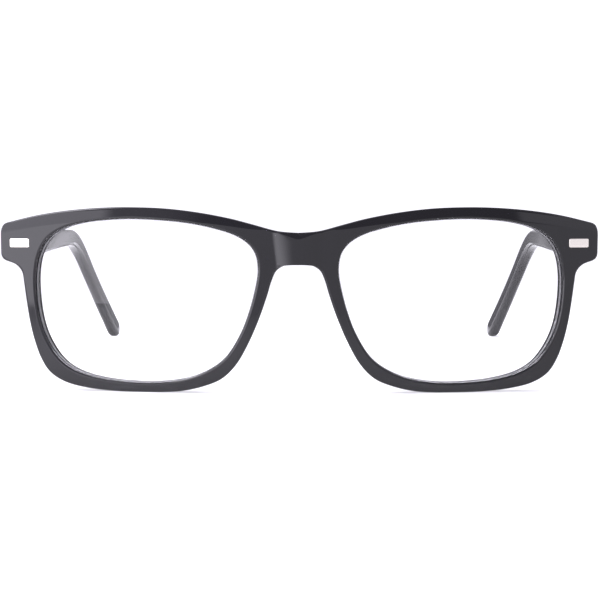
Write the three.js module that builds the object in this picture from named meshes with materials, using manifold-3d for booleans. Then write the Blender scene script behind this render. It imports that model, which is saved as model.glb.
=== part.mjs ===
// A full-rim acetate spectacle frame with demo lenses, standing open on its rims and temple tips.
// Millimetres. +Z is up, the front faces -Y, the temples run back along +Y. "left" is the wearer's
// left, which is +X. Every handed piece is made for the left side and mirrored for the right.
import * as THREE from "three";
import { mergeVertices } from "three/addons/utils/BufferGeometryUtils.js";
import Module from "manifold-3d";

const wasm = await Module();
wasm.setup();

// ---------- driving dimensions ----------
const FRONT_THICKNESS = 4.0; // flat acetate sheet the front is milled from
const BEND_RADIUS = 300; // the flat front is then hot-bent round a vertical cylinder
const TEMPLE_LENGTH = 145; // hinge axis to tip, along the temple
const ARM_LENGTH = 89; // butt end to the start of the ear bend
const EAR_BEND_RADIUS = 29;
const EAR_BEND_ANGLE = THREE.MathUtils.degToRad(47.04);
const HINGE_HEIGHT = 35.4; // centre of the endpiece, of the hinge and of the temple's front end
const LENS_RADIUS = 130; // base 4 curve
const LENS_THICKNESS = 1.5;
const LENS_BEVEL = 0.45; // how far the V of the lens edge stands into the rim
const GROOVE_DEPTH = 0.85;
const CLEARANCE = 0.1; // between parts that sit in each other
const BUTT_GAP = 0.2; // endpiece to temple, open

// ---------- outlines of the front, flat, as [across, up] ----------
const BROW = [
  [5, 38.15], [10.7, 39.65], [16.4, 41.1], [24, 42.5], [32, 43.42], [40.2, 43.72],
  [48, 43.55], [56, 42.9], [63.5, 41.8], [71.1, 40.1],
];
const ENDPIECE_TOP_CORNER = [72.4, 39.8];
const ENDPIECE_SIDE = [[72.45, 38.6], [72.4, 32.8]];
const ENDPIECE_LOW_CORNER = [72.3, 31.2];
const ENDPIECE_TO_RIM = [
  [70.8, 30.85], [68.6, 30.05], [67.0, 28.3], [66.5, 25.6], [65.95, 21.5], [65.15, 16.5],
  [64.0, 11.9], [62.3, 7.5], [59.85, 4.1], [55.75, 1.85], [50, 0.65], [44, 0.12],
];
const FOOT = [[39.5, 0], [33, 0]]; // the flat that the rim stands on
const FOOT_TO_ARCH = [
  [27.7, 0.35], [22.5, 1.5], [18, 3.4], [14.5, 6.9], [11.6, 12], [9.2, 17.5], [7.4, 22.6],
  [6.3, 26.3], [5.15, 28.8], [3.3, 29.98], [1.9, 30.22],
];
const ARCH_TOP = 30.22;
const BRIDGE_TOP = 37.7;
const LENS_OPENING = [
  [38.2, 40.93], [46.9, 40.62], [52.7, 39.78], [56.9, 38.45], [60.4, 36.1], [62.6, 32.4],
  [63.5, 27.5], [63.3, 21.5], [62.3, 16.0], [60.3, 11.3], [57.1, 7.15], [52.7, 4.55],
  [46.5, 3.02], [39.5, 2.38], [32.5, 2.46], [26, 3.52], [20.6, 5.75], [16.7, 8.9],
  [13.6, 13.9], [11.5, 19.2], [10.0, 24.8], [9.45, 29.2], [10.3, 33.2], [13.2, 36.2],
  [18.3, 38.3], [27, 40.1],
];
const LENS_CENTRE = [36.5, 21.5];
const LENS_POINTS = 80; // corners of the faceted opening, groove and lens edge
const OUTLINE_STEP = 1.8; // spacing of the front's outer corners
const FACE_STEP = 9; // longest edge on the front's faces, so that they follow the bend

// ---------- endpiece hardware, placed along the bent face ----------
const HINGE_ACROSS = 66.9; // hinge axis, measured along the flat front
const HINGE_BEHIND = 2.5; // hinge axis behind the front's back face
const BARREL_RADIUS = 1.2;
const BARREL_COUNT = 5;
const BARREL_PITCH = 1.3;
const BARREL_GAP = 0.06;
const BARREL_FACETS = 20;
const SCREW_RADIUS = 0.62;
const SCREW_HOLE_RADIUS = 0.7;
const LEAF_THICKNESS = 0.75;
const LEAF_HEIGHT = BARREL_COUNT * BARREL_PITCH;
const PEG_RADIUS = 0.45;
const PEG_LENGTH = 1.1;
const PEG_RISE = 2.35; // pegs above and below the hinge centre, clear of the core wire
const PLAQUE = { across: 67.35, up: 35.2, length: 4.95, height: 2.08, thickness: 0.55, proud: 0.06 };
const PLAQUE_PIN = { radius: 0.4, length: 1.0, apart: 2.6 };

// ---------- temple, by distance back from its butt end ----------
const TEMPLE_STATIONS = [
  // distance, height, thickness, inner face across
  [0, 8.7, 4.1, 66.6],
  [14, 8.3, 4.1, 66.8],
  [45, 6.4, 4.0, 68.5],
  [85, 4.8, 3.9, 70.9],
  [105, 4.8, 3.7, 70.6],
  [125, 5.6, 3.5, 67.6],
  [147, 6.6, 3.8, 63.2],
];
const TEMPLE_STEPS = 36;
const TIP_ROUNDING = 3.6;
const WIRE = { thickness: 1.2, height: 2.2, from: 1.2, to: 122 };
const WIRE_ROOM = 0.2; // channel round the wire

// ---------- small tools ----------
const vec2 = ([x, y]) => new THREE.Vector2(x, y);

// A closed three.js geometry as a solid for cutting and joining.
function solid(geometry) {
  const bare = geometry.index ? geometry.toNonIndexed() : geometry.clone();
  bare.deleteAttribute("normal");
  bare.deleteAttribute("uv");
  const merged = mergeVertices(bare, 1e-4);
  return new wasm.Manifold(new wasm.Mesh({
    numProp: 3,
    vertProperties: merged.attributes.position.array,
    triVerts: new Uint32Array(merged.index.array),
  }));
}

function geometryOf(made) {
  const mesh = made.getMesh();
  const positions = new Float32Array(mesh.numVert * 3);
  for (let i = 0; i < mesh.numVert; i++) {
    positions.set(mesh.vertProperties.subarray(i * mesh.numProp, i * mesh.numProp + 3), i * 3);
  }
  return new THREE.BufferGeometry()
    .setAttribute("position", new THREE.BufferAttribute(positions, 3))
    .setIndex(new THREE.BufferAttribute(mesh.triVerts, 1));
}

// The same geometry on the other side of the YZ plane, with its faces still pointing out.
function mirrored(geometry) {
  const flipped = (geometry.index ? geometry.toNonIndexed() : geometry.clone()).scale(-1, 1, 1);
  const p = flipped.attributes.position;
  for (let i = 0; i < p.count; i += 3) {
    const [x, y, z] = [p.getX(i + 1), p.getY(i + 1), p.getZ(i + 1)];
    p.setXYZ(i + 1, p.getX(i + 2), p.getY(i + 2), p.getZ(i + 2));
    p.setXYZ(i + 2, x, y, z);
  }
  return flipped;
}

const bothSides = (geometry) => [solid(geometry), solid(mirrored(geometry))];

function box(x0, x1, y0, y1, z0, z1) {
  return new THREE.BoxGeometry(x1 - x0, y1 - y0, z1 - z0)
    .translate((x0 + x1) / 2, (y0 + y1) / 2, (z0 + z1) / 2);
}

// A cylinder along Z, from z0 to z1.
function post(radius, z0, z1, x, y) {
  return new THREE.CylinderGeometry(radius, radius, z1 - z0, BARREL_FACETS)
    .rotateX(Math.PI / 2)
    .translate(x, y, (z0 + z1) / 2);
}

// A cylinder along Y, from y0 to y1.
function peg(radius, y0, y1, x, z) {
  return new THREE.CylinderGeometry(radius, radius, y1 - y0, 16).translate(x, (y0 + y1) / 2, z);
}

// Closed solid through rings of equally many points, with a fan over each end.
function loft(rings) {
  const count = rings[0].length;
  const points = [...rings.flat()];
  const faces = [];
  rings.slice(1).forEach((_, r) => {
    for (let i = 0; i < count; i++) {
      const [a, b] = [r * count + i, r * count + ((i + 1) % count)];
      faces.push([a, b, b + count], [a, b + count, a + count]);
    }
  });
  const centreOf = (ring) =>
    ring.reduce((sum, p) => sum.add(p), new THREE.Vector3()).divideScalar(ring.length);
  const [first, last] = [points.length, points.length + 1];
  points.push(centreOf(rings[0]), centreOf(rings.at(-1)));
  const base = (rings.length - 1) * count;
  for (let i = 0; i < count; i++) {
    const j = (i + 1) % count;
    faces.push([first, j, i], [last, base + i, base + j]);
  }
  const positions = new Float32Array(faces.flat().flatMap((i) => points[i].toArray()));
  return new THREE.BufferGeometry()
    .setAttribute("position", new THREE.BufferAttribute(positions, 3));
}

// ---------- bending the flat front ----------
// across and up lie in the flat sheet; depth is measured back from its front face.
function bend(across, up, depth) {
  const angle = across / BEND_RADIUS;
  const radius = BEND_RADIUS - depth;
  return new THREE.Vector3(radius * Math.sin(angle), BEND_RADIUS - radius * Math.cos(angle), up);
}

// Carries a piece modelled as [along the face, depth, up] to its place on the bent front.
function ontoFace(geometry, across) {
  const at = bend(across, 0, 0);
  return geometry.rotateZ(across / BEND_RADIUS).translate(at.x, at.y, 0);
}

function halfOutline() {
  const half = new THREE.Path();
  half.moveTo(0, BRIDGE_TOP);
  half.splineThru(BROW.map(vec2));
  half.quadraticCurveTo(...ENDPIECE_TOP_CORNER, ...ENDPIECE_SIDE[0]);
  half.lineTo(...ENDPIECE_SIDE[1]);
  half.quadraticCurveTo(...ENDPIECE_LOW_CORNER, ...ENDPIECE_TO_RIM[0]);
  half.splineThru([...ENDPIECE_TO_RIM.slice(1), FOOT[0]].map(vec2));
  half.lineTo(...FOOT[1]);
  half.splineThru(FOOT_TO_ARCH.map(vec2));
  half.lineTo(0, ARCH_TOP);
  return half.curves.flatMap((curve) => {
    const steps = Math.max(curve.isLineCurve ? 1 : 3, Math.round(curve.getLength() / OUTLINE_STEP));
    return curve.getSpacedPoints(curve.isLineCurve ? 1 : steps).slice(0, -1);
  });
}

function outerOutline() {
  const half = halfOutline();
  const other = half.slice(1).map((p) => new THREE.Vector2(-p.x, p.y));
  return [...half.reverse(), ...other]; // anticlockwise, so that three.js winds the holes itself
}

const openingCurve = new THREE.CatmullRomCurve3(
  LENS_OPENING.map(([x, y]) => new THREE.Vector3(x, y, 0)), true, "centripetal",
);
const opening = openingCurve.getSpacedPoints(LENS_POINTS).slice(0, -1);

// The opening's corners moved outwards by a distance, in the plane of the flat front.
function grown(points, by) {
  return points.map((p, i) => {
    const before = points[(i + points.length - 1) % points.length];
    const after = points[(i + 1) % points.length];
    const along = after.clone().sub(before).normalize();
    return new THREE.Vector3(p.x - along.y * by, p.y + along.x * by, 0);
  });
}

// ---------- lens, and the tool that cuts its groove ----------
// A spherical shell whose edge is a V. edge and ridge are how far the V's mouth and ridge stand
// outside the opening; spare is added to both faces.
function lensShape(edge, ridge, spare) {
  const [centreAcross, centreUp] = LENS_CENTRE;
  const apex = -0.45; // the lens's foremost point, from the front face
  const middle = FRONT_THICKNESS / 2;
  const inLens = (points) => points.map((p) => new THREE.Vector2(
    (BEND_RADIUS - middle) * Math.sin((p.x - centreAcross) / BEND_RADIUS), p.y - centreUp,
  ));
  const mouth = inLens(grown(opening, edge));
  const crest = inLens(grown(opening, ridge));
  const sag = (p) => LENS_RADIUS - Math.sqrt(LENS_RADIUS ** 2 - p.lengthSq());
  const ring = (points, share, depth) => points.map((p) => {
    const q = p.clone().multiplyScalar(share);
    return new THREE.Vector3(q.x, apex + sag(q) + depth, centreUp + q.y);
  });
  const front = -spare;
  const back = LENS_THICKNESS + spare;
  const shares = [0.3, 0.65];
  const rings = [
    ...shares.map((share) => ring(mouth, share, front)),
    ring(mouth, 1, front),
    ring(crest, 1, LENS_THICKNESS / 2),
    ring(mouth, 1, back),
    ...shares.reverse().map((share) => ring(mouth, share, back)),
  ];
  return ontoFace(loft(rings), centreAcross);
}

// ---------- hinge, five barrels: three on the front's leaf and two on the temple's ----------
const hingeAt = bend(HINGE_ACROSS, HINGE_HEIGHT, FRONT_THICKNESS + HINGE_BEHIND);
const barrelsBottom = HINGE_HEIGHT - LEAF_HEIGHT / 2;
const barrelsTop = HINGE_HEIGHT + LEAF_HEIGHT / 2;

const barrelSpan = (index) => {
  const z0 = barrelsBottom + index * BARREL_PITCH + BARREL_GAP / 2;
  return [z0, z0 + BARREL_PITCH - BARREL_GAP];
};
const screwHole = () =>
  solid(post(SCREW_HOLE_RADIUS, barrelsBottom - 1, barrelsTop + 1, hingeAt.x, hingeAt.y));

const FRONT_LEAF = { from: -4.0, to: 1.0 }; // along the face, from the hinge axis
const leafFloor = FRONT_THICKNESS + 0.04 - LEAF_THICKNESS; // depth of the leaf's hidden side

function frontLeaf() {
  const [z0, z1] = [barrelsBottom, barrelsTop];
  const plate = box(FRONT_LEAF.from, FRONT_LEAF.to, leafFloor, leafFloor + LEAF_THICKNESS, z0, z1);
  const pegs = [-PEG_RISE, PEG_RISE].map((rise) =>
    peg(PEG_RADIUS, leafFloor - PEG_LENGTH, leafFloor + 0.1, -1.9, HINGE_HEIGHT + rise));
  const arms = [0, 2, 4].map((index) => {
    const [from, to] = barrelSpan(index);
    return box(-1.1, 0.9, leafFloor, FRONT_THICKNESS + HINGE_BEHIND, from, to);
  });
  const barrels = [0, 2, 4].map((index) =>
    post(BARREL_RADIUS, ...barrelSpan(index), hingeAt.x, hingeAt.y));
  const flat = [plate, ...pegs, ...arms].map((piece) => solid(ontoFace(piece, HINGE_ACROSS)));
  return [...flat, ...barrels.map(solid)].reduce((a, b) => a.add(b)).subtract(screwHole());
}

const TEMPLE_INNER = TEMPLE_STATIONS[0][3];
const BUTT_Y = bend(HINGE_ACROSS + 3.4, 0, FRONT_THICKNESS + BUTT_GAP).y; // middle of the butt
const TEMPLE_LEAF = { from: BUTT_Y + 0.35, to: BUTT_Y + 11.5 };

function templeLeaf() {
  const outerSide = TEMPLE_INNER - 0.05;
  const hiddenSide = outerSide + LEAF_THICKNESS;
  const plate = box(outerSide, hiddenSide, TEMPLE_LEAF.from, TEMPLE_LEAF.to, barrelsBottom, barrelsTop);
  const pegs = [-PEG_RISE, PEG_RISE].map((rise) =>
    peg(PEG_RADIUS, -PEG_LENGTH / 2 - 0.05, PEG_LENGTH / 2 + 0.05, 0, HINGE_HEIGHT + rise)
      .rotateZ(Math.PI / 2)
      .translate(hiddenSide + PEG_LENGTH / 2 - 0.05, TEMPLE_LEAF.to - 3.5, 0));
  const arms = [1, 3].map((index) =>
    box(hingeAt.x, hiddenSide - 0.2, hingeAt.y - BARREL_RADIUS + 0.05, hingeAt.y + 0.9, ...barrelSpan(index)));
  const barrels = [1, 3].map((index) =>
    post(BARREL_RADIUS, ...barrelSpan(index), hingeAt.x, hingeAt.y));
  return [plate, ...pegs, ...arms, ...barrels].map(solid)
    .reduce((a, b) => a.add(b)).subtract(screwHole());
}

const SCREW_HEAD = { radius: 1.0, height: 0.55, slotWidth: 0.32, slotDepth: 0.22 };

function hingeScrew() {
  const top = barrelsTop + 0.05;
  const shaft = post(SCREW_RADIUS, barrelsBottom + 0.1, top + 0.2, hingeAt.x, hingeAt.y);
  const head = post(SCREW_HEAD.radius, top, top + SCREW_HEAD.height, hingeAt.x, hingeAt.y);
  const slot = box(
    hingeAt.x - 2, hingeAt.x + 2,
    hingeAt.y - SCREW_HEAD.slotWidth / 2, hingeAt.y + SCREW_HEAD.slotWidth / 2,
    top + SCREW_HEAD.height - SCREW_HEAD.slotDepth, top + 2,
  );
  return solid(shaft).add(solid(head)).subtract(solid(slot));
}

// ---------- metal plaque on the endpiece, one piece with its two pins ----------
function plaque(spare = 0) {
  const { across, up, length, height, thickness, proud } = PLAQUE;
  const plate = box(
    -length / 2 - spare, length / 2 + spare, -proud - spare, thickness - proud + spare,
    up - height / 2 - spare, up + height / 2 + spare,
  );
  const pins = [-1, 1].map((way) => peg(
    PLAQUE_PIN.radius + spare, thickness - proud - 0.1,
    thickness - proud + PLAQUE_PIN.length + spare, way * PLAQUE_PIN.apart / 2, up,
  ));
  return [plate, ...pins].map((piece) => solid(ontoFace(piece, across))).reduce((a, b) => a.add(b));
}

// ---------- nose pad, bonded to the back of the nasal rim ----------
const NOSE_PAD = { across: 9.95, up: 19.4, width: 2.5, depth: 5.2, height: 14, lean: 0.32 };

function nosePad() {
  const { across, up, width, depth, height, lean } = NOSE_PAD;
  const egg = new THREE.SphereGeometry(1, 20, 14)
    .scale(width / 2, depth, height / 2)
    .rotateY(-lean)
    .translate(0, FRONT_THICKNESS + CLEARANCE - 0.3, up);
  const rimSide = box(-20, 20, -20, FRONT_THICKNESS + CLEARANCE, up - 20, up + 20);
  return solid(ontoFace(egg, across)).subtract(solid(ontoFace(rimSide, across)));
}

// ---------- temple ----------
// Centreline in the side view at a distance back from the butt: a straight arm, an arc over the
// ear and a straight tip. Returns [y, z, downward slope angle].
function templeCentre(distance) {
  const arc = EAR_BEND_RADIUS * EAR_BEND_ANGLE;
  const turn = THREE.MathUtils.clamp((distance - ARM_LENGTH) / EAR_BEND_RADIUS, 0, EAR_BEND_ANGLE);
  const past = Math.max(0, distance - ARM_LENGTH - arc);
  const straight = Math.min(distance, ARM_LENGTH);
  const drop = 0.7 * straight / ARM_LENGTH; // the arm sinks a little as it narrows
  return [
    BUTT_Y + straight + EAR_BEND_RADIUS * Math.sin(turn) + past * Math.cos(EAR_BEND_ANGLE),
    HINGE_HEIGHT - drop - EAR_BEND_RADIUS * (1 - Math.cos(turn)) - past * Math.sin(EAR_BEND_ANGLE),
    turn,
  ];
}

// A column of TEMPLE_STATIONS as a smooth function of the distance back.
function station(column, distance) {
  const rows = TEMPLE_STATIONS;
  const next = Math.max(1, rows.findIndex((row, i) => i > 0 && (row[0] >= distance || i === rows.length - 1)));
  const at = (i) => rows[THREE.MathUtils.clamp(i, 0, rows.length - 1)];
  const slope = (i) => (at(i + 1)[column] - at(i - 1)[column]) / (at(i + 1)[0] - at(i - 1)[0]);
  const [a, b] = [rows[next - 1], rows[next]];
  const width = b[0] - a[0];
  const t = THREE.MathUtils.clamp((distance - a[0]) / width, 0, 1);
  const [t2, t3] = [t * t, t * t * t];
  return (2 * t3 - 3 * t2 + 1) * a[column] + (t3 - 2 * t2 + t) * width * slope(next - 1)
    + (-2 * t3 + 3 * t2) * b[column] + (t3 - t2) * width * slope(next);
}

const templeHeight = (distance) => station(1, distance);
const templeThickness = (distance) => station(2, distance);
const templeInner = (distance) => station(3, distance);
const templeEnd = TEMPLE_LENGTH + hingeAt.y - BUTT_Y;

// Section ring at a distance back, square to the centreline: a rectangle, rounded if corner isn't 0.
function sectionRing(distance, x0, x1, height, corner) {
  const [y, z, slope] = templeCentre(distance);
  const [up0, up1] = [-height / 2, height / 2];
  const cut = corner * 0.29;
  const profile = corner === 0 ? [[x0, up0], [x0, up1], [x1, up1], [x1, up0]] : [
    [x0, up0 + corner], [x0, up1 - corner], [x0 + cut, up1 - cut], [x0 + corner, up1],
    [x1 - corner, up1], [x1 - cut, up1 - cut], [x1, up1 - corner], [x1, up0 + corner],
    [x1 - cut, up0 + cut], [x1 - corner, up0], [x0 + corner, up0], [x0 + cut, up0 + cut],
  ];
  return profile.map(([x, up]) =>
    new THREE.Vector3(x, y + up * Math.sin(slope), z + up * Math.cos(slope)));
}

function templeBody() {
  const rings = [];
  const straightEnd = templeEnd - TIP_ROUNDING;
  for (let i = 0; i <= TEMPLE_STEPS; i++) {
    const distance = straightEnd * i / TEMPLE_STEPS;
    const inner = templeInner(distance);
    rings.push(sectionRing(
      distance, inner, inner + templeThickness(distance), templeHeight(distance), 1.1,
    ));
  }
  for (let i = 1; i <= 5; i++) {
    const angle = (Math.PI / 2) * (i / 5.4);
    const distance = straightEnd + TIP_ROUNDING * Math.sin(angle);
    const shrink = Math.cos(angle);
    const full = templeThickness(distance);
    const thin = full * (0.35 + 0.65 * shrink);
    const inner = templeInner(distance) + (full - thin) / 2;
    const height = templeHeight(distance) * shrink;
    rings.push(sectionRing(distance, inner, inner + thin, height, Math.min(1.1, height * 0.35, thin * 0.3)));
  }
  // The butt is mitred to lie parallel to the back of the bent endpiece.
  const middle = TEMPLE_INNER + TEMPLE_STATIONS[0][2] / 2;
  const mitre = Math.tan((HINGE_ACROSS + 3.4) / BEND_RADIUS);
  rings[0].forEach((p) => { p.y += (p.x - middle) * mitre; });
  return loft(rings);
}

// A bar of constant section inside the temple, from one distance to another.
function coreBar(from, to, thickness, height) {
  const rings = [];
  const steps = 36;
  for (let i = 0; i <= steps; i++) {
    const distance = from + (to - from) * i / steps;
    const middle = templeInner(distance) + templeThickness(distance) * 0.56;
    rings.push(sectionRing(distance, middle - thickness / 2, middle + thickness / 2, height, 0));
  }
  return loft(rings);
}

function temple() {
  const channel = coreBar(-2, WIRE.to + 1, WIRE.thickness + 2 * WIRE_ROOM, WIRE.height + 2 * WIRE_ROOM);
  const recess = box(
    TEMPLE_INNER - 2, TEMPLE_INNER - 0.05 + LEAF_THICKNESS + CLEARANCE, BUTT_Y - 3,
    TEMPLE_LEAF.to + CLEARANCE, barrelsBottom - CLEARANCE, barrelsTop + CLEARANCE,
  );
  const floor = TEMPLE_INNER - 0.05 + LEAF_THICKNESS;
  const holes = [-PEG_RISE, PEG_RISE].map((rise) => {
    const hole = peg(PEG_RADIUS + CLEARANCE, -1, PEG_LENGTH + CLEARANCE, 0, HINGE_HEIGHT + rise);
    return hole.rotateZ(-Math.PI / 2).translate(floor, TEMPLE_LEAF.to - 3.5, 0);
  });
  return [channel, recess, ...holes].map(solid).reduce((left, cut) => left.subtract(cut), solid(templeBody()));
}

// ---------- front: rims, bridge and endpieces in one milled and bent sheet ----------
function front() {
  const shape = new THREE.Shape(outerOutline());
  const holeOf = (side) => new THREE.Path(opening.map((p) => new THREE.Vector2(side * p.x, p.y)));
  shape.holes.push(holeOf(1), holeOf(-1));
  const sheet = new THREE.ExtrudeGeometry(shape, { depth: FRONT_THICKNESS, bevelEnabled: false });
  const bent = solid(sheet).refineToLength(FACE_STEP).warp((vertex) => {
    const at = bend(vertex[0], vertex[1], FRONT_THICKNESS - vertex[2]);
    [vertex[0], vertex[1], vertex[2]] = at.toArray();
  });
  const leafRecess = box(
    FRONT_LEAF.from - CLEARANCE, FRONT_LEAF.to + CLEARANCE, leafFloor - CLEARANCE,
    FRONT_THICKNESS + 1, barrelsBottom - CLEARANCE, barrelsTop + CLEARANCE,
  );
  const pegHoles = [-PEG_RISE, PEG_RISE].map((rise) =>
    peg(PEG_RADIUS + CLEARANCE, leafFloor - PEG_LENGTH - CLEARANCE, leafFloor + 0.1, -1.9, HINGE_HEIGHT + rise));
  const cuts = [
    lensShape(-0.4, GROOVE_DEPTH, 0.25),
    ontoFace(leafRecess, HINGE_ACROSS),
    ...pegHoles.map((hole) => ontoFace(hole, HINGE_ACROSS)),
    geometryOf(plaque(CLEARANCE)),
  ];
  return cuts.flatMap(bothSides).reduce((left, cut) => left.subtract(cut), bent);
}

// ---------- materials ----------
const finish = (color, roughness, metalness = 0) =>
  new THREE.MeshStandardMaterial({ color, roughness, metalness });
const ACETATE = finish(0x1c1c20, 0.12);
const LENS = new THREE.MeshStandardMaterial({
  color: 0xf4f8f8, roughness: 0.05, metalness: 0, transparent: true, opacity: 0.25,
});
const STEEL = finish(0xc9c6c2, 0.28, 1);
const HINGE_METAL = finish(0xa9a69f, 0.35, 1);

// ---------- assembly ----------
const frame = new THREE.Group();

function add(name, geometry, material, parent = frame) {
  const mesh = new THREE.Mesh(geometry, material);
  mesh.name = name;
  parent.add(mesh);
}

const handed = [
  ["lens", lensShape(-CLEARANCE, LENS_BEVEL, 0), LENS],
  ["plaque", geometryOf(plaque()), STEEL],
  ["nose_pad", geometryOf(nosePad()), ACETATE],
  ["front_hinge_leaf", geometryOf(frontLeaf()), HINGE_METAL],
  ["temple_hinge_leaf", geometryOf(templeLeaf()), HINGE_METAL],
  ["hinge_screw", geometryOf(hingeScrew()), STEEL],
  ["temple", geometryOf(temple()), ACETATE],
  ["core_wire", coreBar(WIRE.from, WIRE.to, WIRE.thickness, WIRE.height), HINGE_METAL],
];

add("front", geometryOf(front()), ACETATE);
for (const [side, way] of [["left", 1], ["right", -1]]) {
  const half = new THREE.Group();
  half.scale.x = way;
  frame.add(half);
  for (const [name, geometry, material] of handed) {
    add(`${name}_${side}`, geometry, material, half);
  }
}

// The origin is under the middle of the whole frame, on the surface that it stands on.
frame.updateMatrixWorld(true);
const bounds = new THREE.Box3().setFromObject(frame);
frame.position.y = -(bounds.min.y + bounds.max.y) / 2;

export default frame;
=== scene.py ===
import math

import bpy
from mathutils import Matrix, Vector


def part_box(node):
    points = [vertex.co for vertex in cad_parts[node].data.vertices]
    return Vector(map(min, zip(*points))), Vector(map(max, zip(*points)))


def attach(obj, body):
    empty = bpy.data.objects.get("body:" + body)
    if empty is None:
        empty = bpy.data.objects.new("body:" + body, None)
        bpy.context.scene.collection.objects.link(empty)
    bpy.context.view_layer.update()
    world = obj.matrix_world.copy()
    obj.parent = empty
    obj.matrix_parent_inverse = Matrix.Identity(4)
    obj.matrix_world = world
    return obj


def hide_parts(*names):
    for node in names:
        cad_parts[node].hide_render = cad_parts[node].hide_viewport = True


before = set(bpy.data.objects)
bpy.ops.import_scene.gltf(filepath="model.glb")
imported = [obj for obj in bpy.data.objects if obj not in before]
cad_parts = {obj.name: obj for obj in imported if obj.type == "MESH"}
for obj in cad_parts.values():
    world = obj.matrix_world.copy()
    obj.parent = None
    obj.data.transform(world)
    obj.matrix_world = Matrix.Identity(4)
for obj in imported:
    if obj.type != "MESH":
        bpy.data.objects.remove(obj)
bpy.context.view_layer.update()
scene = bpy.context.scene
bpy.ops.object.select_all(action="DESELECT")


# ---- Front -------------------------------------------------------------------------------------
# Rims, bridge and endpieces in one piece, milled from 4 mm sheet of black cellulose acetate.
# A facet is filed along the brow, the bridge is left crowned, and the edges are softened by
# tumbling. The flat front is then bent hot round a cylinder.
MM = 0.001
SHEET = 4.0
BEND_RADIUS = 300.0
FACE_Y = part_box("front")[0].y / MM  # the front face at the middle of the bridge
BROW = [(0, 37.7), (5, 38.15), (10.7, 39.65), (16.4, 41.1), (24, 42.5), (32, 43.42), (40.2, 43.72),
        (48, 43.55), (56, 42.9), (63.5, 41.8), (71.1, 40.1)]
ENDPIECE_TOP = [(71.1, 40.1), (72.4, 39.8), (72.45, 38.6)]
ENDPIECE_LOW = [(72.4, 32.8), (72.3, 31.2), (70.8, 30.85)]
OUTER_RIM = [(70.8, 30.85), (68.6, 30.05), (67.0, 28.3), (66.5, 25.6), (65.95, 21.5), (65.15, 16.5),
             (64.0, 11.9), (62.3, 7.5), (59.85, 4.1), (55.75, 1.85), (50, 0.65), (44, 0.12), (39.5, 0)]
NASAL_RIM = [(33, 0), (27.7, 0.35), (22.5, 1.5), (18, 3.4), (14.5, 6.9), (11.6, 12), (9.2, 17.5),
             (7.4, 22.6), (6.3, 26.3), (5.15, 28.8), (3.3, 29.98), (1.9, 30.22)]
LENS_OPENING = [(38.2, 40.93), (46.9, 40.62), (52.7, 39.78), (56.9, 38.45), (60.4, 36.1),
                (62.6, 32.4), (63.5, 27.5), (63.3, 21.5), (62.3, 16.0), (60.3, 11.3), (57.1, 7.15),
                (52.7, 4.55), (46.5, 3.02), (39.5, 2.38), (32.5, 2.46), (26, 3.52), (20.6, 5.75),
                (16.7, 8.9), (13.6, 13.9), (11.5, 19.2), (10.0, 24.8), (9.45, 29.2), (10.3, 33.2),
                (13.2, 36.2), (18.3, 38.3), (27, 40.1)]
# Places by the opening and by the outline that face each other across the rim.
FACING = [((38.2, 40.93), (38, 43.7)), ((56.0, 38.8), (60, 42.4)), ((60.4, 36.1), (72.2, 39.3)),
          ((62.2, 33.4), (72.4, 34.5)), ((62.9, 31.2), (71.9, 31.2)), ((63.5, 27.5), (67.0, 28.3)),
          ((63.3, 21.5), (65.75, 21.5)), ((60.4, 11.2), (62.9, 9.6)), ((57.3, 6.9), (59.4, 4.6)),
          ((39.5, 2.02), (39.5, 0)), ((20.5, 5.5), (18.6, 3.1)), ((13.6, 13.9), (11.0, 13.3)),
          ((10.0, 24.8), (6.7, 25.0)), ((9.5, 28.0), (4.6, 29.3)), ((9.5, 30.4), (0, 30.22)),
          ((11.0, 34.3), (0, 37.7)), ((14.6, 36.9), (10.7, 39.65)), ((27, 40.1), (26, 42.8))]
SPOKE_SPACING = 0.55
FACE_STEPS, BACK_STEPS = 22, 8  # across the rim, on its face and on its back
FACET_FOOT = [(0, 37.7), (3.1, 38.3), (6.2, 38.35), (10.6, 38.5), (15.7, 39.2), (20.7, 39.85),
              (26, 40.3), (35, 40.75), (46, 40.7), (56, 39.9), (64, 38.9), (74, 37.2)]
FACET_SLOPE = math.tan(math.radians(25))
CROWN = 0.75  # how far the middle of the bridge stands forward of the rims
CROWN_HALF, CROWN_FLARE = 5.0, 0.95  # half its width at the arch, and what the top adds to that
BRIDGE_LOW, BRIDGE_TALL = 30, 7.6
CREASE = 0.03  # how softly the facet runs into the rest of the face
EDGE = 0.52  # rounding left by the tumbling
BACK_EDGE = 0.15  # less at the back of the lens opening, where the tumbling barely reaches
FADE = 3  # the rounding of the outline dies out over this width at the middle of the bridge
GROOVE_DEPTH = 0.8
GROOVE_HALF = 0.7  # half the width of its mouth


def curve_through(points, closed=False, per_span=24):
    """Points lying close together on a smooth curve through the given ones."""
    count = len(points)

    def at(i):
        return Vector(points[i % count] if closed else points[max(0, min(i, count - 1))])

    curve = []
    for i in range(count if closed else count - 1):
        a, b, c, d = at(i - 1), at(i), at(i + 1), at(i + 2)
        for k in range(per_span):
            t = k / per_span
            cubic = 2 * a - 5 * b + 4 * c - d + t * (3 * b - a - 3 * c + d)
            curve.append(b + 0.5 * t * (c - a + t * cubic))
    return curve if closed else curve + [at(count - 1)]


def corner_through(points, steps=24):
    """A round corner from the first point to the last, drawn towards the middle one."""
    a, b, c = (Vector(p) for p in points)
    shares = [k / steps for k in range(steps + 1)]
    return [a * (1 - t) ** 2 + b * 2 * t * (1 - t) + c * t * t for t in shares]


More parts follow.
